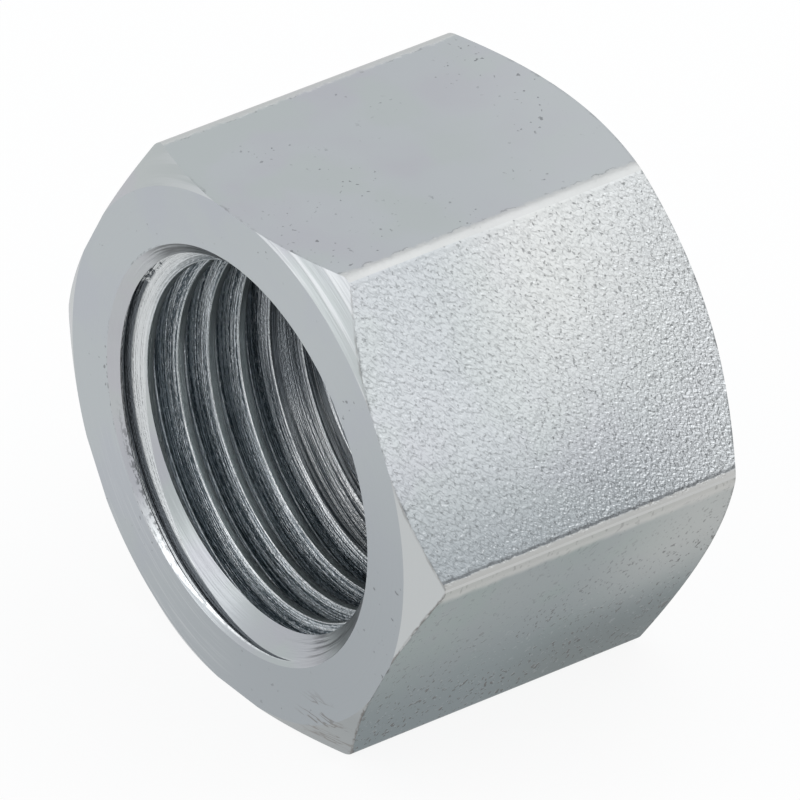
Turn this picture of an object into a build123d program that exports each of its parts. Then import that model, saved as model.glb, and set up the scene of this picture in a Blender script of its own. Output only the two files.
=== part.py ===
"""Female threaded cap: a blind hexagon nut that screws over a male pipe fitting and shuts it.

One piece, turned from drawn hexagon bar. It is drawn about its own thread axis, with the mouth
face at zero and the hole running inward, and is then laid on one of its six flats with the mouth
to the front. The origin is on the surface that it lies on, under the middle of the body.
Lengths are in millimetres and angles in degrees.
"""
from build123d import *
from math import radians, sqrt, tan
import os

# hexagon bar
ACROSS_FLATS = 27.0
CORNER_RADIUS = 0.85          # drawn bar has rounded long edges
BODY_LENGTH = 19.4            # mouth face to closed face

# turned ends: a cone takes the six corners off each end and leaves a round face
MOUTH_FACE_OVER_FLATS = 0.2   # of the mouth face's diameter over the width across flats
CLOSED_FACE_UNDER_FLATS = 0.1
END_CONE_ANGLE = 30.0         # between the cone and the end face

# thread: parallel pipe thread, nominal 1/2, right hand
THREAD_MAJOR_DIA = 20.955
THREADS_PER_INCH = 14
INCH = 25.4
FLANK_ANGLE = 55.0            # between the two flanks of the groove
DEPTH_PER_PITCH = 0.640327    # the thread form's own ratios: depth of the groove,
SHARP_HEIGHT_PER_PITCH = 0.960491   # and height of the sharp triangle that it is cut from
FULL_THREAD_LENGTH = 7.8      # from the mouth face to where the groove begins to fade
RUNOUT_LENGTH = 3.0           # over which the lead lets it fade to nothing
GROOVE_START = 3.25           # depth of one turn of the groove on the +X side

# hole: countersunk, bored for the thread, and drilled narrower behind it
COUNTERSINK_OVER_THREAD = 0.445     # of its diameter over the thread's
COUNTERSINK_ANGLE = 90.0      # across both sides of the cone
BORED_PAST_THREAD = 0.3       # of the bored length past the end of the runout
DRILLED_UNDER_CRESTS = 0.2    # of the drilled radius under the crests'
DRILLED_DEPTH = 15.0          # mouth face to floor
FLOOR_BEVEL = 0.6             # left by the drill's corners round the flat floor

# allowances of the cutting shapes, which leave no mark on the part
OVERRUN = 1.0                 # past a face that they cut through
FLANK_OVERRUN = 0.05          # of the groove's flanks past the crests
GROOVE_OVERRUN = 0.4          # of the groove's cutter past the crests

PITCH = INCH / THREADS_PER_INCH
MAJOR_R = THREAD_MAJOR_DIA / 2
THREAD_DEPTH = DEPTH_PER_PITCH * PITCH
MINOR_R = MAJOR_R - THREAD_DEPTH
THREAD_END = FULL_THREAD_LENGTH + RUNOUT_LENGTH


def turned(*outline):
    """Solid of revolution about the thread axis, from (radius, depth) corners."""
    return revolve(Plane.XZ * make_face(Polyline(*outline, close=True)), Axis.Z)


def hexagon_bar():
    """The bar stock, two corners on the X axis, with its drawn long edges."""
    section = RegularPolygon(ACROSS_FLATS / 2, 6, major_radius=False)
    return extrude(fillet(section.vertices(), CORNER_RADIUS), BODY_LENGTH)


def end_cones():
    """Envelope that the two end faces and their cones leave of the bar."""
    reach = ACROSS_FLATS / sqrt(3)
    rise = tan(radians(END_CONE_ANGLE))
    mouth_r = (ACROSS_FLATS + MOUTH_FACE_OVER_FLATS) / 2
    closed_r = (ACROSS_FLATS - CLOSED_FACE_UNDER_FLATS) / 2
    return turned(
        (0, 0),
        (mouth_r, 0),
        (reach, (reach - mouth_r) * rise),
        (reach, BODY_LENGTH - (reach - closed_r) * rise),
        (closed_r, BODY_LENGTH),
        (0, BODY_LENGTH),
    )


def hole():
    """Blind hole before threading: countersink, bored length, drilled length and floor."""
    slope = tan(radians(COUNTERSINK_ANGLE / 2))
    mouth_r = (THREAD_MAJOR_DIA + COUNTERSINK_OVER_THREAD) / 2
    drilled_r = MINOR_R - DRILLED_UNDER_CRESTS
    bored_end = THREAD_END + BORED_PAST_THREAD
    return turned(
        (0, -OVERRUN),
        (mouth_r + OVERRUN * slope, -OVERRUN),
        (MINOR_R, (mouth_r - MINOR_R) / slope),
        (MINOR_R, bored_end),
        (drilled_r, bored_end + DRILLED_UNDER_CRESTS),
        (drilled_r, DRILLED_DEPTH - FLOOR_BEVEL),
        (drilled_r - FLOOR_BEVEL, DRILLED_DEPTH),
        (0, DRILLED_DEPTH),
    )


def groove_section():
    """Section of the groove between two crests, in the plane through the axis."""
    flank_run = tan(radians(FLANK_ANGLE / 2))
    apex_r = MAJOR_R + (SHARP_HEIGHT_PER_PITCH - DEPTH_PER_PITCH) / 2 * PITCH
    flank_r = MINOR_R - FLANK_OVERRUN
    inner_r = MINOR_R - GROOVE_OVERRUN
    root_half, mouth_half = (apex_r - MAJOR_R) * flank_run, (apex_r - flank_r) * flank_run
    outline = Polyline(
        (inner_r, -mouth_half),
        (flank_r, -mouth_half),
        (MAJOR_R, -root_half),
        (MAJOR_R, root_half),
        (flank_r, mouth_half),
        (inner_r, mouth_half),
        close=True,
    )
    return Plane.XZ * make_face(outline)


def thread_groove():
    """The right-hand helical groove, from outside the mouth to the end of its runout.

    The lead cone takes the root's side off the last turns, so the groove grows shallow and narrow.
    """
    start = GROOVE_START % PITCH - 2 * PITCH
    helix = Helix(PITCH, THREAD_END + PITCH - start, MINOR_R)
    groove = Pos(0, 0, start) * sweep(groove_section(), helix, is_frenet=True)
    fade = THREAD_DEPTH / RUNOUT_LENGTH
    lead = turned(
        (0, start - PITCH),
        (MAJOR_R + OVERRUN, start - PITCH),
        (MAJOR_R + OVERRUN, FULL_THREAD_LENGTH - OVERRUN / fade),
        (MINOR_R - FLANK_OVERRUN, THREAD_END + FLANK_OVERRUN / fade),
        (0, THREAD_END + FLANK_OVERRUN / fade),
    )
    return groove & lead


def cap_body():
    """The finished cap, about its thread axis."""
    return (hexagon_bar() & end_cones()) - hole() - thread_groove()


def laid_on_a_flat(solid):
    """Turned so that the mouth faces -Y and a flat lies on Z = 0."""
    mouth = Plane(
        origin=(0, -BODY_LENGTH / 2, ACROSS_FLATS / 2), x_dir=(1, 0, 0), z_dir=(0, 1, 0)
    )
    return mouth.location * solid


os.makedirs("parts", exist_ok=True)
export_step(laid_on_a_flat(cap_body()), "parts/cap_body.step")
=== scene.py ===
from math import cos, pi, radians, sin, sqrt, tan

import bpy
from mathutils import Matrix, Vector


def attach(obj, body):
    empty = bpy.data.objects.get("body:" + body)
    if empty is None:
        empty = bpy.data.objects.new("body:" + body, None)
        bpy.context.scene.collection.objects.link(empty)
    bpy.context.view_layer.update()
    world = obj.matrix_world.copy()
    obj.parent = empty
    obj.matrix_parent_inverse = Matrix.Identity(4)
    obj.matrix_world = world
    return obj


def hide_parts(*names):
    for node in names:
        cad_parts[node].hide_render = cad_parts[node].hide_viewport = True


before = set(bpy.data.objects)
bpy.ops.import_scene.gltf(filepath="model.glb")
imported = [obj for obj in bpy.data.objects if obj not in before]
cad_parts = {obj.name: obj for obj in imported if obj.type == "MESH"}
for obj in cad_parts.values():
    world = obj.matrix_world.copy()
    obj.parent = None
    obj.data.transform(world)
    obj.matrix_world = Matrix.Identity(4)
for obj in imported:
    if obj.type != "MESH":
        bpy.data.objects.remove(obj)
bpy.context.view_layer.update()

# ---------------------------------------------------------------- hexagon body
# The cap starts as a length of drawn hexagon bar, 27 mm across its flats, sawn off and turned.
# Drawing leaves the six long edges rounded. A cone turned on each end takes the corners off,
# which leaves a curved edge where it runs out into each flat.

MM = 0.001
ACROSS_FLATS = 27.0 * MM
CORNER_RADIUS = 0.85 * MM
CORNER_STEPS = 12
BODY_LENGTH = 19.4 * MM
MOUTH_FACE_R = 13.6 * MM
CLOSED_FACE_R = 13.45 * MM
END_CONE_RISE = tan(radians(30))
TURN_STEPS = 288
SAME_POINT = 0.0005 * MM        # turned points nearer than this are one
WELD_GAP = 0.001 * MM           # and so are cut ones nearer than this
AXIS = Vector((0, 0, ACROSS_FLATS / 2))
MOUTH_Y = -BODY_LENGTH / 2


def deselect():
    if bpy.context.object and bpy.context.object.mode != "OBJECT":
        bpy.ops.object.mode_set(mode="OBJECT")
    bpy.ops.object.select_all(action="DESELECT")


def make_active(obj):
    deselect()
    obj.select_set(True)
    bpy.context.view_layer.objects.active = obj


def traced(name, outline):
    """A chain of edges through (radius, depth) points, in the half plane on the +X side."""
    deselect()
    first_r, first_depth = outline[0]
    bpy.ops.mesh.primitive_plane_add(size=MM, location=(first_r, MOUTH_Y + first_depth, AXIS.z))
    obj = bpy.context.object
    obj.name = name
    bpy.ops.object.transform_apply(location=True)
    bpy.ops.object.mode_set(mode="EDIT")
    bpy.ops.mesh.select_mode(type="VERT")
    bpy.ops.mesh.select_all(action="SELECT")
    bpy.ops.mesh.merge(type="CENTER")
    for (r0, d0), (r1, d1) in zip(outline, outline[1:]):
        bpy.ops.mesh.extrude_vertices_move(
            TRANSFORM_OT_translate={"value": (r1 - r0, d1 - d0, 0)}
        )
    bpy.ops.object.mode_set(mode="OBJECT")
    return obj


def turned(name, outline):
    """A solid spun about the thread axis. The outline starts and ends on the axis."""
    obj = traced(name, outline)
    bpy.ops.object.mode_set(mode="EDIT")
    bpy.ops.mesh.select_all(action="SELECT")
    bpy.ops.mesh.spin(steps=TURN_STEPS, angle=2 * pi, center=AXIS, axis=(0, 1, 0))
    bpy.ops.mesh.select_all(action="SELECT")
    bpy.ops.mesh.remove_doubles(threshold=SAME_POINT)
    bpy.ops.mesh.normals_make_consistent(inside=False)
    bpy.ops.object.mode_set(mode="OBJECT")
    return obj


def combine(obj, other, operation):
    """Cut or keep obj by other, which is used up."""
    make_active(obj)
    step = obj.modifiers.new(operation.lower(), "BOOLEAN")
    step.operation, step.object, step.solver = operation, other, "EXACT"
    bpy.ops.object.modifier_apply(modifier=step.name)
    bpy.data.objects.remove(other)


deselect()
bpy.ops.mesh.primitive_cylinder_add(
    vertices=6, radius=ACROSS_FLATS / sqrt(3), depth=BODY_LENGTH, location=AXIS,
    rotation=(pi / 2, pi / 6, 0),
)
cap = bpy.context.object
cap.name = "hexagon_cap"
bpy.ops.object.transform_apply(location=True, rotation=True)
bpy.ops.object.mode_set(mode="EDIT")
bpy.ops.mesh.select_mode(type="EDGE")
bpy.ops.mesh.select_all(action="DESELECT")
bpy.ops.object.mode_set(mode="OBJECT")
for edge in cap.data.edges:
    a, b = (cap.data.vertices[v].co for v in edge.vertices)
    edge.select = abs(a.y - b.y) > BODY_LENGTH / 2
bpy.ops.object.mode_set(mode="EDIT")
bpy.ops.mesh.bevel(offset=CORNER_RADIUS * tan(pi / 6), segments=CORNER_STEPS, profile=0.5)
bpy.ops.object.mode_set(mode="OBJECT")

corner_r = ACROSS_FLATS / sqrt(3)
combine(cap, turned("end_cones", [
    (0, 0),
    (MOUTH_FACE_R, 0),
    (corner_r, (corner_r - MOUTH_FACE_R) * END_CONE_RISE),
    (corner_r, BODY_LENGTH - (corner_r - CLOSED_FACE_R) * END_CONE_RISE),
    (CLOSED_FACE_R, BODY_LENGTH),
    (0, BODY_LENGTH),
]), "INTERSECT")

# ---------------------------------------------------------------- hole and thread
# A drill opens the bar, a boring tool brings the mouth's half to the thread's inner size and a
# countersink cones its edge. A tap then cuts the right-hand pipe thread, 14 turns an inch, and
# its tapered lead leaves the last turns shallow.

PITCH = 25.4 / 14 * MM
MAJOR_R = 10.4775 * MM
THREAD_DEPTH = 0.640327 * PITCH
MINOR_R = MAJOR_R - THREAD_DEPTH
FLANK = radians(27.5)           # of each side of the groove from square to the axis
ROOT_R = 0.137329 * PITCH       # of the groove's rounded root
ROOT_RIDGE = 0.09 * MM          # left along the middle of the root
ROOT_SHOULDER = 0.02 * MM       # of the root's sides under its highest lines
LAND_FAR = 0.35 * MM            # the crest's flat land, either side of where a pitch is counted
LAND_NEAR = 0.05 * MM
CREST_EDGE = 0.05 * MM          # length of flank that the crest's rounded edge takes
CREST_STEPS = 3
GROOVE_START = 3.25 * MM        # depth of one turn of the groove on the +X side
FIRST_CREST = GROOVE_START - PITCH * 3.5
THREAD_STEPS = 240
TAP_TURNS = 9
SMOOTH_UNDER = radians(14)      # faces that meet at less than this are shaded as one
FULL_THREAD = 7.8 * MM
THREAD_END = 10.8 * MM
COUNTERSINK_R = 10.7 * MM
BORED_R = MINOR_R - 0.01 * MM
BORED_END = THREAD_END + 0.3 * MM
DRILLED_R = MINOR_R - 0.2 * MM
DRILLED_DEPTH = 15 * MM
FLOOR_BEVEL = 0.6 * MM
OVERRUN = MM                    # of a cutting shape past the face that it cuts through
LEAD_OVER_ROOTS = 0.05 * MM
LEAD_UNDER_CRESTS = 0.02 * MM

combine(cap, turned("drilled_hole", [
    (0, -OVERRUN),
    (COUNTERSINK_R + OVERRUN, -OVERRUN),
    (BORED_R, COUNTERSINK_R - BORED_R),
    (BORED_R, BORED_END),
    (DRILLED_R, BORED_END + BORED_R - DRILLED_R),
    (DRILLED_R, DRILLED_DEPTH - FLOOR_BEVEL),
    (DRILLED_R - FLOOR_BEVEL, DRILLED_DEPTH),
    (0, DRILLED_DEPTH),
]), "DIFFERENCE")


def thread_outline():
    """One pitch of the tap, from crest land to crest land, as (radius, depth) points."""
    stop = PITCH - LAND_NEAR
    middle = (LAND_FAR + PITCH - LAND_NEAR) / 2
    rise = MAJOR_R - ROOT_R + ROOT_R * sin(FLANK) - MINOR_R
    shoulder, crown = ROOT_R * 0.55, ROOT_R * 0.32
    points = [
        (MINOR_R, 0),
        (MINOR_R, LAND_FAR),
        (MINOR_R + rise, LAND_FAR + rise * tan(FLANK)),
        (MAJOR_R - ROOT_SHOULDER, middle - shoulder),
        (MAJOR_R, middle - crown),
        (MAJOR_R - ROOT_RIDGE, middle),
        (MAJOR_R, middle + crown),
        (MAJOR_R - ROOT_SHOULDER, middle + shoulder),
        (MINOR_R + rise, stop - rise * tan(FLANK)),
        (MINOR_R + CREST_EDGE * cos(FLANK), stop - CREST_EDGE * sin(FLANK)),
    ]
    edge_r = CREST_EDGE / tan((pi / 2 - FLANK) / 2)
    for step in range(CREST_STEPS - 1, 0, -1):
        turn = (pi / 2 - FLANK) * step / CREST_STEPS
        points.append((MINOR_R + edge_r * (1 - cos(turn)), stop + CREST_EDGE - edge_r * sin(turn)))
    return points + [(MINOR_R, stop + CREST_EDGE), (MINOR_R, PITCH)]


tap = traced("tap", [(r, d + FIRST_CREST) for r, d in thread_outline()])
bpy.context.scene.cursor.location = AXIS
bpy.ops.object.origin_set(type="ORIGIN_CURSOR")
screw = tap.modifiers.new("screw", "SCREW")
screw.axis, screw.angle, screw.screw_offset = "Y", 2 * pi, PITCH
screw.steps = screw.render_steps = THREAD_STEPS
screw.iterations = TAP_TURNS
screw.use_merge_vertices = False
bpy.ops.object.modifier_apply(modifier=screw.name)
bpy.ops.object.transform_apply(location=True)
bpy.ops.object.mode_set(mode="EDIT")
bpy.ops.mesh.select_all(action="SELECT")
bpy.ops.mesh.remove_doubles(threshold=WELD_GAP)
for depth, outward in ((-OVERRUN, -1), (THREAD_END + OVERRUN, 1)):
    bpy.ops.mesh.select_all(action="SELECT")
    bpy.ops.mesh.bisect(
        plane_co=(0, MOUTH_Y + depth, 0), plane_no=(0, outward, 0), use_fill=True, clear_outer=True
    )
bpy.ops.mesh.select_all(action="SELECT")
bpy.ops.mesh.normals_make_consistent(inside=False)
bpy.ops.object.mode_set(mode="OBJECT")

combine(tap, turned("tap_lead", [
    (0, -OVERRUN / 2),
    (MAJOR_R + LEAD_OVER_ROOTS, -OVERRUN / 2),
    (MAJOR_R + LEAD_OVER_ROOTS, FULL_THREAD),
    (MINOR_R - LEAD_UNDER_CRESTS, THREAD_END),
    (0, THREAD_END),
]), "INTERSECT")
combine(cap, tap, "DIFFERENCE")

make_active(cap)
bpy.ops.object.mode_set(mode="EDIT")
bpy.ops.mesh.select_all(action="SELECT")
bpy.ops.mesh.remove_doubles(threshold=WELD_GAP)
bpy.ops.mesh.normals_make_consistent(inside=False)
bpy.ops.object.mode_set(mode="OBJECT")
bpy.ops.object.shade_smooth_by_angle(angle=SMOOTH_UNDER)

# ---------------------------------------------------------------- zinc plating
# The finished cap is electroplated with zinc. Drawn flats keep their drawn skin under it, smooth
# or finely pitted, and turned faces keep their rings. It is one colour of pale blue-grey metal
# that shows faint violet and green where the film is thinner.

ZINC = (0.475, 0.497, 0.512)
ZINC_VIOLET = (0.468, 0.475, 0.502)
ZINC_GREEN = (0.465, 0.494, 0.495)
# painted light: the warm reflection on the rounded edge between the right-hand flats
WARM_PAINTED_LIGHT = (0.54, 0.535, 0.515)
# dark marks, and painted shade in pits, along edges and in the bore
DARK_MARKS_AND_SHADE = (0.10, 0.105, 0.11)
SCUFF_BROWN = (0.15, 0.135, 0.12)
GRAIN = 5.2                     # of the plating, in a millimetre
CORNER_SCUFF = AXIS + Vector((7.0 * MM, MOUTH_Y, -12.1 * MM))


class Finish:
    """A plated metal material, put together node by node.

    Places and directions are the part's own. Amounts run from 0 to 1. A noise is stated by how
    many blots it has in a millimetre, and a span by what it comes from and goes to.
    """

    def __init__(self, name):
        self.material = bpy.data.materials.new(name)
        self.material.use_nodes = True
        self.nodes = self.material.node_tree.nodes
        self.links = self.material.node_tree.links
        self.metal = self.nodes["Principled BSDF"]
        self.metal.inputs["Metallic"].default_value = 1
        self.place = self.nodes.new("ShaderNodeTexCoord").outputs["Object"]

    def add(self, kind, settings=(), **inputs):
        """A new node, with its inputs given by name, or by number as i0, i1 and so on."""
        node = self.nodes.new("ShaderNode" + kind)
        for key, value in dict(settings).items():
            setattr(node, key, value)
        for key, value in inputs.items():
            socket = node.inputs[int(key[1:]) if key[1:].isdigit() else key]
            if isinstance(value, bpy.types.NodeSocket):
                self.links.new(value, socket)
            else:
                socket.default_value = value
        return node

    def worked_out(self, kind, operation, values):
        inputs = {f"i{number}": value for number, value in enumerate(values)}
        return self.add(kind, {"operation": operation}, **inputs)

    def math(self, operation, *values):
        return self.worked_out("Math", operation, values).outputs[0]

    def vector(self, operation, *values):
        node = self.worked_out("VectorMath", operation, values)
        return node.outputs["Value" if operation in ("DOT_PRODUCT", "LENGTH") else "Vector"]

    def plus(self, first, second):
        return self.math("ADD", first, second)

    def minus(self, first, second):
        return self.math("SUBTRACT", first, second)

    def most(self, first, second):
        return self.math("MAXIMUM", first, second)

    def times(self, first, *others):
        for other in others:
            first = self.math("MULTIPLY", first, other)
        return first

    def toward(self, direction, place=None):
        """How far the place lies toward a direction."""
        return self.vector("DOT_PRODUCT", place or self.place, tuple(direction))

    def span(self, value, low, high, to_low=0.0, to_high=1.0):
        node = self.add(
            "MapRange", {"interpolation_type": "SMOOTHSTEP"},
            i0=value, i1=low, i2=high, i3=to_low, i4=to_high,
        )
        return node.outputs[0]

    def window(self, value, opens, opened, closes, closed):
        """0, then 1 from opened to closes, then 0 again."""
        return self.times(self.span(value, opens, opened), self.span(value, closed, closes))

    def line(self, value, middle, faded, solid):
        """1 as near the middle as solid, and 0 past faded."""
        return self.span(self.math("ABSOLUTE", self.minus(value, middle)), faded, solid)

    def blend(self, amount, first, second):
        first = (*first, 1) if isinstance(first, tuple) else first
        second = (*second, 1) if isinstance(second, tuple) else second
        node = self.add("Mix", {"data_type": "RGBA"}, i0=amount, i6=first, i7=second)
        return node.outputs[2]

    def tint(self, base, colour, *amounts):
        """The base with a colour laid over it, by all the amounts together."""
        return self.blend(self.times(*amounts), base, colour)

    def noise(self, place, per_mm, detail=2.0, rough=0.5):
        scale = per_mm / MM
        node = self.add("TexNoise", Vector=place, Scale=scale, Detail=detail, Roughness=rough)
        return node.outputs[0]

    def frayed(self, value, noise, width):
        """The value, moved at most half the width either way."""
        return self.plus(value, self.times(self.minus(noise, 0.5), width))

    def stretched(self, place, turn, scale):
        return self.add("Mapping", i0=place, Rotation=turn, Scale=scale).outputs[0]

    def film(self):
        """The plating's colour: patches a few millimetres wide."""
        violet = self.span(self.noise(self.place, 0.16, 3), 0.42, 0.62)
        elsewhere = self.stretched(self.place, (1, 2, 3), (1, 1, 1))
        green = self.span(self.noise(elsewhere, 0.23, 3), 0.45, 0.62)
        return self.blend(green, self.blend(violet, ZINC, ZINC_VIOLET), ZINC_GREEN)

    def spots(self, place, per_mm, limit, rough=0.4):
        """Small pits: 1 where the noise rises above the limit."""
        return self.span(self.noise(place, per_mm, 1.5, rough), limit, limit + 0.05)

    def around(self):
        """Radius from the axis, direction away from it, and depth from the middle of the body."""
        centred = self.add("Mapping", i0=self.place, Location=(0, 0, -AXIS.z)).outputs[0]
        flat = self.vector("MULTIPLY", centred, (1, 0, 1))
        radius = self.vector("LENGTH", flat)
        bearing = self.vector("NORMALIZE", flat)
        return radius, bearing, self.toward((0, 1, 0), centred)

    def sweep(self, bearing):
        """Angle about the axis: 0 on the -X side, and growing from there by way of the bottom."""
        return self.math(
            "ARCTAN2", self.toward((0, 0, -1), bearing), self.toward((-1, 0, 0), bearing)
        )

    def rings(self, along, bearing, per_mm, breaks, detail=2.0, rough=0.5):
        """Turning marks: noise drawn out around the axis, longer the fewer its breaks."""
        lengthwise = self.vector("MULTIPLY", bearing, (breaks, 0, breaks))
        across = self.add("CombineXYZ", Y=self.times(along, per_mm / MM)).outputs[0]
        counted = self.vector("ADD", lengthwise, across)    # in blots, where a place is in metres
        return self.noise(counted, MM, detail, rough)

    def edge_line(self, width, least):
        """1 on a thin ragged line where a flat runs out at either end, patchy down to least.

        It is laid on as the edge's painted shade, and on the lower flats as a painted highlight
        too.
        """
        radius, _, depth = self.around()
        gaps = []
        for face_r, from_end in (
            (MOUTH_FACE_R, self.plus(depth, BODY_LENGTH / 2)),
            (CLOSED_FACE_R, self.minus(BODY_LENGTH / 2, depth)),
        ):
            past_face = self.most(self.minus(radius, face_r), 0.0)
            gaps.append(self.minus(from_end, self.times(past_face, END_CONE_RISE)))
        ragged = self.times(self.noise(self.place, 1.9, 3, 0.6), 3.2 * width)
        gap = self.plus(self.math("MINIMUM", *gaps), ragged)
        patchy = self.span(self.noise(self.place, 0.95, 3, 0.6), 0.42, 0.56, least, 1.0)
        return self.times(self.span(gap, 2.1 * width, 1.3 * width), patchy)

    def scuffs(self):
        """Fine brown scratches where the cap has stood on its lowest front corner."""
        away = self.vector("LENGTH", self.vector("SUBTRACT", self.place, tuple(CORNER_SCUFF)))
        drawn_out = self.stretched(self.place, (0, radians(15), 0), (0.3, 1, 1.9))
        hairs = self.line(self.noise(drawn_out, 0.7, 3, 0.6), 0.5, 0.026, 0.010)
        return self.times(hairs, self.span(away, 2.5 * MM, 1.1 * MM))

    def relief(self, height, depth, under=None):
        """The surface's normal over a height of 0 to 1, which stands for the depth."""
        node = self.add("Bump", i0=1.0, Distance=depth, Height=height)
        if under:
            self.links.new(under, node.inputs["Normal"])
        return node.outputs[0]

    def close(self, colour, roughness, normal):
        for socket, value in (("Base Color", colour), ("Roughness", roughness), ("Normal", normal)):
            if isinstance(value, bpy.types.NodeSocket):
                self.links.new(value, self.metal.inputs[socket])
            else:
                self.metal.inputs[socket].default_value = value
        return self.material


# ---------------------------------------------------------------- smooth flats
# The top flat and the upper left one keep the smooth skin of the die: a slow wave, a fine grain
# and a few pits, which are painted dark as shade. They are painted lighter toward the closed end
# as light, and their rounded long edges carry a pale painted highlight, with small dark nicks. On
# their right a thin ragged line of painted shade runs where they meet the end cones.

# painted light: a sheen toward the closed end, and a highlight on the rounded long edges
PAINTED_SHEEN_BACK = (0.525, 0.545, 0.555)
PAINTED_EDGE_HIGHLIGHT = (0.60, 0.60, 0.585)
EDGE_BEGINS_R = 15.22 * MM
EDGE_FULL_R = 15.36 * MM


def smooth_flat():
    f = Finish("zinc_smooth_flat")
    radius, _, _ = f.around()
    wave = f.noise(f.place, 0.26, 2)
    # the pits and, on the right, the thin edge line are painted dark as shade
    pits = f.times(f.spots(f.place, 3.9, 0.69), f.span(f.noise(f.place, 0.19, 2), 0.5, 0.62))
    right = f.span(f.toward((1, 0, 0)), -6 * MM, -2 * MM)
    dark = f.most(pits, f.times(f.edge_line(0.24 * MM, 0.1), right))
    back = f.span(f.toward((0.5, 1, 0)), 0, 12 * MM)
    # painted sheen toward the closed end
    colour = f.tint(f.film(), PAINTED_SHEEN_BACK, back, 0.7)
    colour = f.tint(colour, DARK_MARKS_AND_SHADE, dark, 0.6)
    normal = f.relief(wave, 0.02 * MM, f.relief(f.noise(f.place, GRAIN, 3), 0.0012 * MM))
    normal = f.relief(dark, -0.01 * MM, normal)

    # a pale painted highlight on the rounded long edges, with dark nicks on it
    chipped = f.noise(f.place, 2.6, 3, 0.65)
    edge = f.span(f.frayed(radius, chipped, 0.30 * MM), EDGE_BEGINS_R, EDGE_FULL_R)
    colour = f.tint(colour, PAINTED_EDGE_HIGHLIGHT, edge, 0.7)
    nicks = f.span(f.noise(f.place, 1.3, 2), 0.50, 0.60)
    colour = f.tint(colour, DARK_MARKS_AND_SHADE, f.window(edge, 0.02, 0.2, 0.3, 0.6), nicks, 0.35)
    normal = f.relief(f.times(chipped, edge), 0.03 * MM, normal)
    roughness = f.plus(f.span(wave, 0.3, 0.7, 0.34, 0.42), f.times(edge, 0.1))
    return f.close(colour, roughness, normal)


# ---------------------------------------------------------------- pitted flats
# The upper right flat, and the one across from it, came through the die with a rough skin. It is
# covered in small slanting bumps and pits, coarser toward the bottom and the closed end. Its
# bumps carry painted light and shade, and its pits painted shade. The flat is painted paler as
# light, lighter toward the closed end and darker toward its lower edge as shade, and it is warmer
# toward its upper front. The skin stops at a dark ragged line of painted shade along the lower
# edge, and the rounded edge past it is bare, with a warm painted reflection. A thin ragged line of
# painted shade runs where the flat meets the end cones.

PITTED_DOWN = Vector((0.5, 0, -cos(pi / 6)))    # over the flat, toward its rougher side
MARKS_ALONG = 0.64 * Vector((0, 1, 0)) + 0.77 * PITTED_DOWN
MARKS_ACROSS = -0.77 * Vector((0, 1, 0)) + 0.64 * PITTED_DOWN
MARKS_DRAWN_OUT = 0.55
LIT_FROM = (-0.43, -0.50, 0.75)                 # what the bumps' painted light comes from
# painted light and shade: the paler base, the lighter back, the shaded lower edge, and the bumps
PITTED_PAINTED_PALE = (0.60, 0.62, 0.63)
PITTED_WARM = (0.65, 0.655, 0.635)
PITTED_PAINTED_SHADE = (0.325, 0.35, 0.365)
PITTED_PAINTED_LIGHT_BACK = (0.60, 0.615, 0.62)
BUMP_LIT = (0.85, 0.87, 0.88)
BUMP_SHADED = (0.20, 0.215, 0.225)


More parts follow.
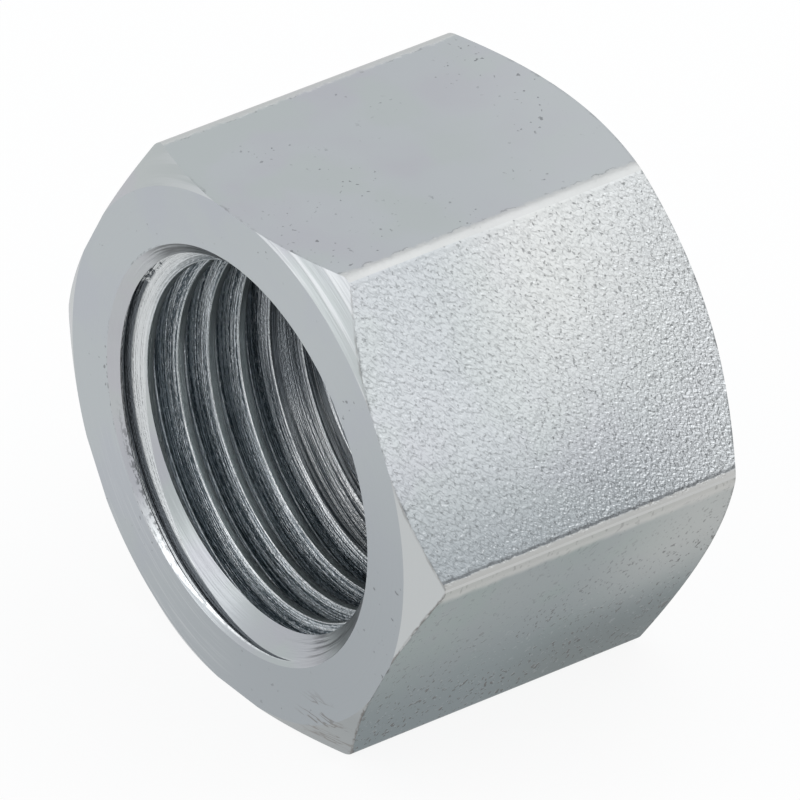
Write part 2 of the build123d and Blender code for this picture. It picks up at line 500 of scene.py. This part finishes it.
def pitted_flat():
    f = Finish("zinc_pitted_flat")
    side = f.toward(PITTED_DOWN, f.vector("SUBTRACT", f.place, tuple(AXIS)))
    back = f.toward((0, 1, 0))
    rougher = f.span(f.plus(side, f.times(back, 1.1)), -8 * MM, 15 * MM)
    from_middle = f.most(side, f.minus(f.times(side, -1.0), 0.22 * MM))
    from_middle = f.frayed(from_middle, f.noise(f.place, 1.5, 3, 0.6), 1.2 * MM)
    inset = f.span(from_middle, 7.65 * MM, 7.15 * MM)

    along = f.times(f.toward(MARKS_ALONG), MARKS_DRAWN_OUT)
    skin = f.add("CombineXYZ", X=along, Y=f.toward(MARKS_ACROSS)).outputs[0]
    fine = f.times(f.minus(f.noise(skin, 8.6, 1.0), 0.5), rougher, 0.129)
    soft = f.times(f.minus(f.noise(skin, 5.1, 1.5), 0.5), f.span(rougher, 0, 1, 0.084, 0.048))
    skin_normal = f.relief(f.times(f.plus(fine, soft), inset), MM)
    unmarked = f.add("NewGeometry").outputs["True Normal"]
    lit = f.minus(f.toward(LIT_FROM, skin_normal), f.toward(LIT_FROM, unmarked))

    # painted light: paler overall and toward the closed end; painted shade toward the lower edge
    colour = f.blend(0.35, f.film(), PITTED_PAINTED_PALE)
    warm = f.times(f.span(back, -5 * MM, 2 * MM), f.span(side, 5 * MM, -5 * MM))
    colour = f.tint(colour, PITTED_WARM, warm, 0.7)
    lower = f.span(f.minus(side, f.times(back, 0.15)), 0.8 * MM, 8.8 * MM)
    colour = f.tint(colour, PITTED_PAINTED_SHADE, lower)
    colour = f.tint(colour, PITTED_PAINTED_LIGHT_BACK, f.span(back, 2 * MM, 9 * MM), 0.6)
    # painted light and shade on the bumps, lit from LIT_FROM
    colour = f.tint(colour, BUMP_LIT, f.span(lit, 0.03, 0.42, 0.0, 0.62))
    colour = f.tint(colour, BUMP_SHADED, f.span(lit, -0.03, -0.45, 0.0, 0.86))
    # the pits are painted dark as shade
    pits = f.most(f.spots(f.place, 4.7, 0.70, 0.3), f.spots(skin, 6.2, 0.66))
    pits = f.times(pits, inset, f.span(back, -8 * MM, 4 * MM, 0.65, 1.0))
    colour = f.tint(colour, DARK_MARKS_AND_SHADE, pits, 0.5)

    # a dark ragged line of painted shade along the lower edge, a warm painted reflection past it,
    # and the edge line's painted shade
    ragged = f.plus(side, f.times(f.noise(f.place, 2.4, 3, 0.6), 0.22 * MM))
    shade_line = f.window(ragged, 7.27 * MM, 7.37 * MM, 7.44 * MM, 7.50 * MM)
    colour = f.tint(colour, WARM_PAINTED_LIGHT, f.span(ragged, 7.44 * MM, 7.52 * MM), 0.7)
    dark = f.most(f.times(shade_line, 0.9), f.edge_line(0.21 * MM, 0.5))
    colour = f.tint(colour, DARK_MARKS_AND_SHADE, dark, 0.75)
    normal = f.relief(f.noise(f.place, 0.7, 2), 0.004 * MM, skin_normal)
    normal = f.relief(pits, -0.02 * MM, normal)
    return f.close(colour, f.span(side, -7.2 * MM, -7.5 * MM, 0.32, 0.46), normal)


# ---------------------------------------------------------------- lower flats
# The lower right flat and the one that the cap lies on have a smooth skin but for open pits,
# crowded toward the lower edge and the closed end, each painted dark as shade with a painted
# highlight on its lip. The zinc there is a darker copy painted as shade, darker still toward the
# lower edge and low at the back, and painted lighter toward the upper back. The rounded edge above
# them carries a warm painted reflection, and where they meet the end cones a thin ragged line of
# painted shade has warm painted highlights.

LOW_DOWN = Vector((-0.5, 0, -cos(pi / 6)))      # over the flat, toward its lower edge
# painted shade: the zinc darkened, more toward the lower edge and under the back; painted light
# toward the upper back; painted shade in the pits
LOW_SHADED_BLUE = (0.248, 0.282, 0.290)
LOW_SHADED_GREEN = (0.240, 0.290, 0.284)
LOW_PAINTED_SHADE = (0.130, 0.168, 0.182)
LOW_PAINTED_LIGHT = (0.41, 0.425, 0.415)
LOW_PAINTED_SHADE_UNDER = (0.088, 0.116, 0.118)
LOW_PIT_SHADE = (0.03, 0.028, 0.027)


def low_flat():
    f = Finish("zinc_low_flat")
    back = f.toward((0, 1, 0))
    side = f.toward(LOW_DOWN, f.vector("SUBTRACT", f.place, tuple(AXIS)))

    def open_pits(place):
        return f.most(f.spots(place, 3.3, 0.655), f.spots(place, 5.2, 0.645))

    slanted = f.stretched(f.place, (radians(40), 0, 0), (1, 1, 0.5))
    beside = f.vector("ADD", slanted, (0, 0.03 * MM, -0.05 * MM))
    crowded = f.span(f.plus(side, f.times(back, 0.35)), -5 * MM, 3 * MM, 0.3, 1.0)
    pits = f.times(open_pits(slanted), crowded, f.span(f.noise(f.place, 0.26, 2), 0.34, 0.54))
    dark = f.most(pits, f.edge_line(0.26 * MM, 0.4))

    # a darker copy of the zinc as painted shade, darker toward the lower edge and under the back,
    # and painted lighter toward the upper back
    colour = f.blend(f.span(f.noise(f.place, 0.21, 2), 0.4, 0.6), LOW_SHADED_BLUE, LOW_SHADED_GREEN)
    colour = f.tint(colour, LOW_PAINTED_SHADE, f.span(side, -6 * MM, 7 * MM))
    far = f.times(f.span(back, 0, 8 * MM), f.span(side, 5 * MM, -4 * MM))
    colour = f.tint(colour, LOW_PAINTED_LIGHT, far, 0.8)
    under = f.times(f.span(back, -3 * MM, 4 * MM), f.span(side, 0, 6 * MM))
    colour = f.tint(colour, LOW_PAINTED_SHADE_UNDER, under, 0.8)
    # a warm painted reflection on the rounded edge, and warm painted highlights on the edge line
    ragged = f.plus(side, f.times(f.noise(f.place, 1.1, 3), 0.5 * MM))
    colour = f.tint(colour, WARM_PAINTED_LIGHT, f.span(ragged, -6.3 * MM, -6.9 * MM), 0.65)
    fringe = f.times(f.edge_line(0.20 * MM, 0.2), f.span(f.noise(f.place, 1.5, 2), 0.45, 0.55))
    colour = f.tint(colour, WARM_PAINTED_LIGHT, fringe, 0.5)
    # a painted highlight on each pit's lip, then the pits and edge line painted dark as shade
    colour = f.tint(colour, ZINC, open_pits(beside), crowded, 0.16)
    colour = f.tint(colour, LOW_PIT_SHADE, dark, 0.8)
    grain = f.relief(f.noise(f.place, GRAIN, 3), 0.0012 * MM)
    normal = f.relief(f.noise(f.place, 0.24, 2), 0.03 * MM, grain)
    normal = f.relief(dark, -0.01 * MM, normal)
    return f.close(colour, 0.33, normal)


# ---------------------------------------------------------------- turned end faces
# Both end faces are turned square, with fine rings round the axis. The mouth's is rubbed along
# its lower left, has a bead of small burrs on the left edge of the hole, and is scuffed where
# its lowest corner has stood on a bench. It is painted darker toward its lower right as shade,
# and the pits in both faces are painted dark as shade.

FACE_BLUE = (0.458, 0.490, 0.508)
FACE_VIOLET = (0.450, 0.476, 0.510)
FACE_PAINTED_SHADE = (0.352, 0.380, 0.402)
FACE_RUBBED = (0.62, 0.64, 0.65)


def turned_end():
    f = Finish("zinc_turned_end")
    radius, bearing, depth = f.around()
    front = f.span(depth, MM, -MM)
    marks = f.rings(radius, bearing, 9.0, 2.5, 3, 0.6)
    broad = f.rings(radius, bearing, 1.8, 1.5)
    normal = f.relief(marks, 0.006 * MM, f.relief(f.noise(f.place, GRAIN, 3), 0.001 * MM))
    normal = f.relief(broad, 0.01 * MM, normal)

    patches = f.span(f.noise(f.place, 0.21, 3), 0.45, 0.62)
    # painted shade toward the lower right of the mouth's face
    low = f.span(f.toward((0.62, 0, -0.78), bearing), -0.4, 1.1)
    colour = f.tint(f.blend(patches, FACE_BLUE, FACE_VIOLET), FACE_PAINTED_SHADE, low, front)
    rubbed = f.span(f.toward((-0.6, 0, -0.8), bearing), 0.78, 0.96)
    colour = f.tint(colour, FACE_RUBBED, rubbed, front, f.span(marks, 0.52, 0.64), 0.3)

    # the pits are painted dark as shade, and the burrs on the hole's left rim are dark
    pits = f.times(f.spots(f.place, 2.9, 0.69), f.span(f.noise(f.place, 0.24, 2), 0.5, 0.62))
    left = f.times(front, f.span(f.toward((-1, 0, -0.1), bearing), 0.4, 0.8))
    rim = f.times(f.line(radius, COUNTERSINK_R + 0.04 * MM, 0.06 * MM, 0.03 * MM), left)
    crumbs = f.span(f.noise(f.place, 5.2, 2, 0.6), 0.50, 0.60)
    beads = f.times(rim, crumbs, f.span(f.noise(f.place, 0.33, 2), 0.38, 0.52))
    colour = f.tint(colour, DARK_MARKS_AND_SHADE, f.most(pits, beads), 0.6)
    colour = f.tint(colour, SCUFF_BROWN, f.scuffs(), 0.6)
    return f.close(colour, 0.34, normal)


# ---------------------------------------------------------------- end cones
# The cones that take the corners off are turned with a coarser feed, scored deepest on the upper
# right corner. Brown nicks lie along the edges that they share with the two right-hand flats. The
# right corner's cone is painted lighter as light, and the lower right one darker as shade.

CONE_SCORED = (0.62, 0.635, 0.645)
CONE_PAINTED_LIGHT = (0.525, 0.545, 0.550)
CONE_PAINTED_SHADE = (0.318, 0.338, 0.345)
NICK_BROWN = (0.10, 0.088, 0.078)
UPPER_RIGHT_CORNER = (0.5, 0, 0.866)
LOWER_RIGHT_CORNER = (0.5, 0, -0.866)
UPPER_RIGHT_FLAT = Vector((cos(pi / 6), 0, 0.5))
LOWER_RIGHT_FLAT = Vector((cos(pi / 6), 0, -0.5))


def cone_end():
    f = Finish("zinc_end_cone")
    radius, bearing, _ = f.around()
    marks = f.rings(radius, bearing, 6.5, 3, 3, 0.6)
    broad = f.rings(radius, bearing, 2.6, 1.2, 3, 0.6)
    scored = f.span(f.toward(UPPER_RIGHT_CORNER, bearing), 0.4, 0.95, 0.02, 1.0)
    colour = f.tint(f.film(), CONE_SCORED, f.span(broad, 0.44, 0.60), scored)
    # painted light on the right corner, and painted shade on the lower right one
    colour = f.tint(colour, CONE_PAINTED_LIGHT, f.span(f.toward((1, 0, 0), bearing), 0.85, 0.97))
    colour = f.tint(colour, CONE_PAINTED_SHADE, f.span(f.toward(LOWER_RIGHT_CORNER, bearing), 0.90, 0.98))
    colour = f.tint(colour, SCUFF_BROWN, f.scuffs(), 0.6)

    torn = f.times(f.noise(f.place, 1.9, 3, 0.6), 0.25 * MM)
    patchy = f.span(f.noise(f.place, 0.95, 3, 0.6), 0.42, 0.55, 0.25, 1.0)
    for flat, strength in ((LOWER_RIGHT_FLAT, 0.75), (UPPER_RIGHT_FLAT, 0.45)):
        reach = f.times(radius, f.toward(flat, bearing))
        gap = f.plus(f.minus(ACROSS_FLATS / 2, reach), torn)
        nicks = f.span(gap, 0.25 * MM, 0.15 * MM)
        colour = f.tint(colour, NICK_BROWN, nicks, patchy, strength)
    normal = f.relief(f.times(broad, scored), 0.05 * MM, f.relief(marks, 0.006 * MM))
    return f.close(colour, 0.36, normal)


# ---------------------------------------------------------------- threaded bore
# The tap tears fine streaks along the groove's flanks. The bore's light and shade are painted:
# the streaks run from painted shade to painted light, the roots are painted brighter, glints are
# painted round the bottom, and the first turn is painted plain and pale with its groove dark.
# The crests' lands are as bored, painted shaded or lit by their side, with a painted highlight on
# the edge toward the mouth and painted shade on the other. Behind the last turns the wall is
# plain, painted bright where light falls in, and then drilled.

PITCH_FROM = 2.84 * MM          # depth on the -X side from which each pitch is counted inward
BRIGHT_EDGE = 0.365 * MM        # of a crest's land, in that count
DARK_EDGE = 0.78 * MM
ROOT_MIDDLE = 1.44 * MM
# painted light and shade in the bore, laid over the tap's streaks and grain
FLANK_STREAK_SHADE = (0.122, 0.152, 0.172)
FLANK_STREAK_LIGHT = (0.585, 0.63, 0.655)
ROOT_PAINTED_DULL = (0.62, 0.67, 0.71)
ROOT_PAINTED_PALE = (0.76, 0.80, 0.83)
PAINTED_GLINT = (0.95, 0.97, 0.98)
SALT = (0.84, 0.87, 0.91)
FIRST_TURN_PAINTED_DULL = (0.60, 0.625, 0.63)
FIRST_TURN_PAINTED_PALE = (0.67, 0.69, 0.70)
FIRST_GROOVE_SHADE = (0.06, 0.072, 0.085)
LAND_SHADED = (0.34, 0.38, 0.38)
LAND_OPEN = (0.69, 0.76, 0.765)
LAND_SHADE_DARK_GRAIN = (0.10, 0.11, 0.12)
LAND_SHADE_PALE_GRAIN = (0.30, 0.32, 0.34)
WALL_DARK = (0.17, 0.185, 0.20)
WALL_SHADED = (0.50, 0.53, 0.56)
WALL_LIT = (0.97, 0.98, 0.98)
CREST_LINE_SHADED = (0.50, 0.54, 0.55)
CREST_LINE_LIT = (0.96, 0.98, 0.98)
DRILLED_DARK = (0.34, 0.36, 0.375)
DRILLED_PALE = (0.50, 0.52, 0.54)


def bored():
    f = Finish("zinc_bored")
    radius, bearing, depth = f.around()
    sweep = f.sweep(bearing)
    inward = f.minus(depth, MOUTH_Y)
    along = f.plus(inward, f.times(sweep, PITCH / (2 * pi)))
    groove = f.math("FLOORED_MODULO", f.minus(along, PITCH_FROM), PITCH)
    turn = f.times(f.minus(along, radius), 2 * pi / PITCH)
    drift = f.times(inward, 0.6 / MM)

    def tapped_marks(per_mm, breaks, rough):
        """Noise drawn out along the helix. Once round comes back one pitch on without a seam."""
        wave = per_mm / MM * PITCH / (2 * pi)
        lengthwise = f.vector("MULTIPLY", bearing, (breaks, 0, breaks))
        across = f.add("CombineXYZ", X=drift, Y=f.times(f.math("COSINE", turn), wave)).outputs[0]
        node = f.add(
            "TexNoise", {"noise_dimensions": "4D"},
            Vector=f.vector("ADD", lengthwise, across), W=f.times(f.math("SINE", turn), wave),
            Scale=1.0, Detail=2.0, Roughness=rough,
        )
        return node.outputs[0]

    scratches = tapped_marks(9.5, 1.4, 0.55)
    grain = tapped_marks(9.0, 70, 0.6)
    salt = tapped_marks(15.0, 30, 0.6)
    streak = f.span(scratches, 0.43, 0.57)

    # flanks and roots in painted light and shade, with painted glints round the bottom and salt
    # where a flank rises to its crest
    flank = f.blend(streak, FLANK_STREAK_SHADE, FLANK_STREAK_LIGHT)
    root = f.window(groove, 0.70 * MM, 0.80 * MM, 1.25 * MM, 1.60 * MM)
    colour = f.blend(root, flank, f.blend(streak, ROOT_PAINTED_DULL, ROOT_PAINTED_PALE))
    glints = f.times(f.span(scratches, 0.52, 0.56), f.span(grain, 0.44, 0.53))
    colour = f.tint(colour, PAINTED_GLINT, glints, f.span(sweep, 0.55, 1.0), f.minus(1.0, root), 0.8)
    rise = f.most(f.span(groove, 1.30 * MM, 1.70 * MM), f.span(groove, 0.36 * MM, 0.30 * MM))
    colour = f.tint(colour, SALT, f.span(salt, 0.52, 0.61), rise, 0.55)
    colour = f.tint(colour, DARK_MARKS_AND_SHADE, f.span(salt, 0.47, 0.36), rise, 0.4)

    # the first turn is painted plain and pale, as light, and its groove starts torn and is painted
    # dark, as shade
    first = f.span(inward, 1.75 * MM, 1.25 * MM)
    plain = f.blend(f.span(scratches, 0.30, 0.62), FIRST_TURN_PAINTED_DULL, FIRST_TURN_PAINTED_PALE)
    colour = f.tint(colour, plain, first, 0.93)
    ridge = f.times(f.line(groove, ROOT_MIDDLE, 0.07 * MM, 0.03 * MM), 0.85)
    torn = f.frayed(sweep, f.noise(f.place, 2.3, 3, 0.65), 1.2)
    valley = f.times(
        f.span(radius, MAJOR_R - 0.50 * MM, MAJOR_R - 0.36 * MM),
        first, f.minus(1.0, ridge), f.span(torn, -0.64, -0.54),
    )
    colour = f.tint(colour, FIRST_GROOVE_SHADE, valley, 0.9)

    # the crests' lands, painted shaded or lit, up to the last turns, and the plain wall behind
    # those, painted from shade to light, with a painted highlight
    last = f.span(inward, 7.9 * MM, 8.7 * MM)
    before_last = f.minus(1.0, last)
    land = f.times(f.span(radius, MINOR_R + 0.004 * MM, MINOR_R + 0.001 * MM), before_last)
    open_side = f.window(sweep, -0.25, 0.1, 1.0, 1.25)
    open_side = f.times(open_side, f.span(inward, 2.1 * MM, 2.6 * MM))
    colour = f.tint(colour, f.blend(open_side, LAND_SHADED, LAND_OPEN), land, 0.85)
    wall = f.blend(streak, WALL_DARK, f.blend(f.span(sweep, 0.35, 0.75), WALL_SHADED, WALL_LIT))
    colour = f.tint(colour, wall, last, 0.9)
    lit = f.times(last, f.span(sweep, 0.4, 0.9), f.span(scratches, 0.47, 0.53))
    colour = f.tint(colour, (1.0, 1.0, 1.0), lit, 0.9)

    # the crests' two edges, a painted highlight and a line of painted shade, and painted shade on
    # the side of a land that turns away from the light
    bright_line = f.line(groove, BRIGHT_EDGE, 0.040 * MM, 0.016 * MM)
    crest_line = f.blend(f.span(sweep, 0.0, 0.5), CREST_LINE_SHADED, CREST_LINE_LIT)
    colour = f.tint(colour, crest_line, bright_line, f.span(grain, 0.35, 0.55, 0.6, 1.0))
    colour = f.tint(colour, DARK_MARKS_AND_SHADE, f.line(groove, DARK_EDGE, 0.08 * MM, 0.04 * MM), 0.6)
    turned_away = f.window(groove, 0.50 * MM, 0.70 * MM, 0.79 * MM, 0.86 * MM)
    turned_away = f.times(turned_away, f.span(sweep, 0.1, 0.8), before_last)
    grained = f.blend(f.span(salt, 0.42, 0.60), LAND_SHADE_DARK_GRAIN, LAND_SHADE_PALE_GRAIN)
    colour = f.tint(colour, grained, turned_away, 0.7)

    # the drilled wall and floor past the thread
    past = f.span(inward, 11.2 * MM, 11.6 * MM)
    before_past = f.minus(1.0, past)
    drilled = f.rings(f.minus(inward, radius), bearing, 5.2, 1.6, 2, 0.55)
    colour = f.tint(colour, f.blend(f.span(drilled, 0.38, 0.62), DRILLED_DARK, DRILLED_PALE), past)
    normal = f.relief(f.times(scratches, before_past), 0.04 * MM)
    normal = f.relief(f.times(grain, before_past), 0.035 * MM, normal)
    normal = f.relief(f.times(drilled, past), 0.012 * MM, normal)
    return f.close(colour, f.span(land, 0, 1, 0.3, 0.45), normal)


# ---------------------------------------------------------------- countersink
# The countersink's cone has fine rings, a torn dark patch at the upper left and one at the lower
# right, where the tap runs in. A bright band lies round its lower left, with crumbs of torn metal
# along the band's inner side.

BRIGHT_BAND = (0.90, 0.92, 0.93)
BAND_INNER_R = (10.36 * MM, 10.42 * MM)     # from where the band fades in to where it is full
BAND_OUTER_R = (10.74 * MM, 10.50 * MM)     # where the band begins, and where it thins out


def countersunk():
    f = Finish("zinc_countersink")
    radius, bearing, _ = f.around()
    sweep = f.sweep(bearing)
    marks = f.rings(radius, bearing, 8.0, 2.5, 3, 0.6)
    crumbs = f.rings(radius, bearing, 12.0, 40, 3, 0.6)
    normal = f.relief(marks, 0.02 * MM, f.relief(f.noise(f.place, 4.2, 2), 0.002 * MM))

    top = f.window(sweep, -1.5, -1.25, -1.0, -0.7)
    colour = f.tint(f.film(), DARK_MARKS_AND_SHADE, top, f.span(marks, 0.58, 0.40), 0.75)
    run_in = f.times(f.window(sweep, 2.05, 2.2, 2.5, 2.75), f.span(radius, 10.45 * MM, 10.2 * MM))
    colour = f.tint(colour, DARK_MARKS_AND_SHADE, run_in, f.span(marks, 0.52, 0.40), 0.75)

    from_outer = f.minus(radius, f.span(sweep, 0.9, 1.4, *BAND_OUTER_R))
    band = f.times(f.span(radius, *BAND_INNER_R), f.span(from_outer, 0.03 * MM, -0.03 * MM))
    band = f.times(band, f.window(sweep, 0.6, 0.95, 1.5, 2.1))
    colour = f.tint(colour, BRIGHT_BAND, band, f.span(crumbs, 0.36, 0.52, 0.15, 1.0))
    burr = f.times(f.span(radius, 10.15 * MM, 10.22 * MM), f.span(radius, 10.58 * MM, 10.44 * MM))
    burr = f.times(burr, f.window(sweep, 0.15, 0.5, 0.8, 1.15), f.span(crumbs, 0.54, 0.44))
    colour = f.tint(colour, DARK_MARKS_AND_SHADE, burr, 0.7)
    return f.close(colour, 0.28, normal)


# ---------------------------------------------------------------- which face has which finish
# Each face takes its finish from how it was made: the hole from its distance to the axis, the
# turned ends from how squarely they face along it, and the drawn flats from their direction.

SQUARE_ON = 0.999               # least share of a face's normal that lies along the axis: the
END_ON = 0.995                  # hole's floor and the mouth, an end face,
CONE_ON = 0.5                   # and an end cone
COUNTERSINK_ON = -sin(pi / 4)
FLAT_ON = 0.9                   # least share of a pitted flat's normal across the axis

cap.data.materials.clear()
for finish in (
    smooth_flat(), pitted_flat(), low_flat(), turned_end(), cone_end(), bored(), countersunk()
):
    cap.data.materials.append(finish)
SMOOTH, PITTED, LOW, FACE, CONE, BORE, SINK = range(7)


def finish_of(face):
    from_axis = (face.center - Vector((0, face.center.y, AXIS.z))).length
    depth = face.center.y - MOUTH_Y
    lean = abs(face.normal.y)
    if from_axis < COUNTERSINK_R + 0.02 * MM and lean < SQUARE_ON:
        on_countersink = abs(face.normal.y - COUNTERSINK_ON) < 0.02 and 0 < depth < 2 * MM
        return SINK if on_countersink else BORE
    if from_axis < COUNTERSINK_R and MM < depth < BODY_LENGTH - MM:
        return BORE
    if lean > END_ON:
        return FACE
    if lean > CONE_ON:
        return CONE
    if abs(face.normal.dot(UPPER_RIGHT_FLAT)) > FLAT_ON:
        return PITTED
    return LOW if face.normal.z < -0.1 else SMOOTH


for face in cap.data.polygons:
    face.material_index = finish_of(face)

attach(cap, "root")
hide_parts("cap_body")

# ---------------------------------------------------------------- floor and backdrop
# A plain pale table carries the cap, wide enough to reach past the view from every side. Its
# matt paint takes the cap's soft shadow and reads as near white to the eye and in the metal.

TABLE_WIDTH = 6
TABLE_PAINT = (0.88, 0.88, 0.88)
TABLE_GLOW = 0.9                # share of plain white in what is seen of it

deselect()
bpy.ops.mesh.primitive_plane_add(size=TABLE_WIDTH, location=(0, 0, 0))
floor = bpy.context.object
floor.name = "floor"
pale = bpy.data.materials.new("pale_floor")
pale.use_nodes = True
nodes, links = pale.node_tree.nodes, pale.node_tree.links
paint = nodes["Principled BSDF"]
paint.inputs["Base Color"].default_value = (*TABLE_PAINT, 1)
paint.inputs["Roughness"].default_value = 1.0
paint.inputs["Specular IOR Level"].default_value = 0.0
white = nodes.new("ShaderNodeEmission")
white.inputs["Strength"].default_value = 1.0
rays = nodes.new("ShaderNodeLightPath")
seen = rays.outputs["Is Camera Ray"]
for kind in ("Is Glossy Ray", "Is Transmission Ray"):
    either = nodes.new("ShaderNodeMath")
    either.operation = "MAXIMUM"
    links.new(seen, either.inputs[0])
    links.new(rays.outputs[kind], either.inputs[1])
    seen = either.outputs[0]
share = nodes.new("ShaderNodeMath")
share.operation = "MULTIPLY"
share.inputs[1].default_value = TABLE_GLOW
links.new(seen, share.inputs[0])
cover = nodes.new("ShaderNodeMixShader")
links.new(share.outputs[0], cover.inputs[0])
links.new(paint.outputs[0], cover.inputs[1])
links.new(white.outputs[0], cover.inputs[2])
links.new(cover.outputs[0], nodes["Material Output"].inputs["Surface"])
floor.data.materials.append(pale)

# ---------------------------------------------------------------- lamps, room and camera
# Three soft boxes stand in a plain pale room: one before the mouth, one over the back and one
# beyond the right-hand flats. The camera looks down on the mouth from the right.

ROOM_COLOUR = (0.98, 1.0, 1.02)
ROOM_BRIGHTNESS = 0.9
LAMP_DISTANCE = 1.0

world = bpy.data.worlds.new("studio")
bpy.context.scene.world = world
world.use_nodes = True
room = world.node_tree.nodes["Background"]
room.inputs["Color"].default_value = (*ROOM_COLOUR, 1)
room.inputs["Strength"].default_value = ROOM_BRIGHTNESS


def soft_box(name, direction, width, height, brightness):
    """brightness is how bright the box's own face looks."""
    deselect()
    direction = Vector(direction).normalized()
    bpy.ops.object.light_add(type="AREA", location=AXIS + direction * LAMP_DISTANCE)
    lamp = bpy.context.object
    lamp.name = name
    lamp.rotation_euler = direction.to_track_quat("Z", "Y").to_euler()
    lamp.data.shape = "RECTANGLE"
    lamp.data.size, lamp.data.size_y = width, height
    lamp.data.energy = brightness * pi * width * height


soft_box("front_box", (-0.25, -0.88, 0.40), 0.7, 0.6, 0.75)
soft_box("over_box", (0.12, 0.50, 0.86), 1.25, 0.8, 0.72)
soft_box("right_box", (0.83, 0.52, 0.36), 0.6, 0.4, 0.72)

VIEW_AZIMUTH = radians(53.93)
VIEW_ELEVATION = radians(32.52)
VIEW_DISTANCE = 0.72
AIM_UNDER_AXIS = 0.375 * MM
LENS_MM = 673.7
SENSOR_MM = 36

toward = Vector((
    sin(VIEW_AZIMUTH) * cos(VIEW_ELEVATION),
    -cos(VIEW_AZIMUTH) * cos(VIEW_ELEVATION),
    sin(VIEW_ELEVATION),
))
upward = toward.cross(Vector((cos(VIEW_AZIMUTH), sin(VIEW_AZIMUTH), 0)))
aim = AXIS - AIM_UNDER_AXIS * upward
deselect()
bpy.ops.object.camera_add(location=aim + VIEW_DISTANCE * toward)
camera = bpy.context.object
camera.rotation_euler = toward.to_track_quat("Z", "Y").to_euler()
camera.data.lens = LENS_MM
camera.data.sensor_width = SENSOR_MM
bpy.context.scene.camera = camera
bpy.context.scene.view_settings.view_transform = "Standard"
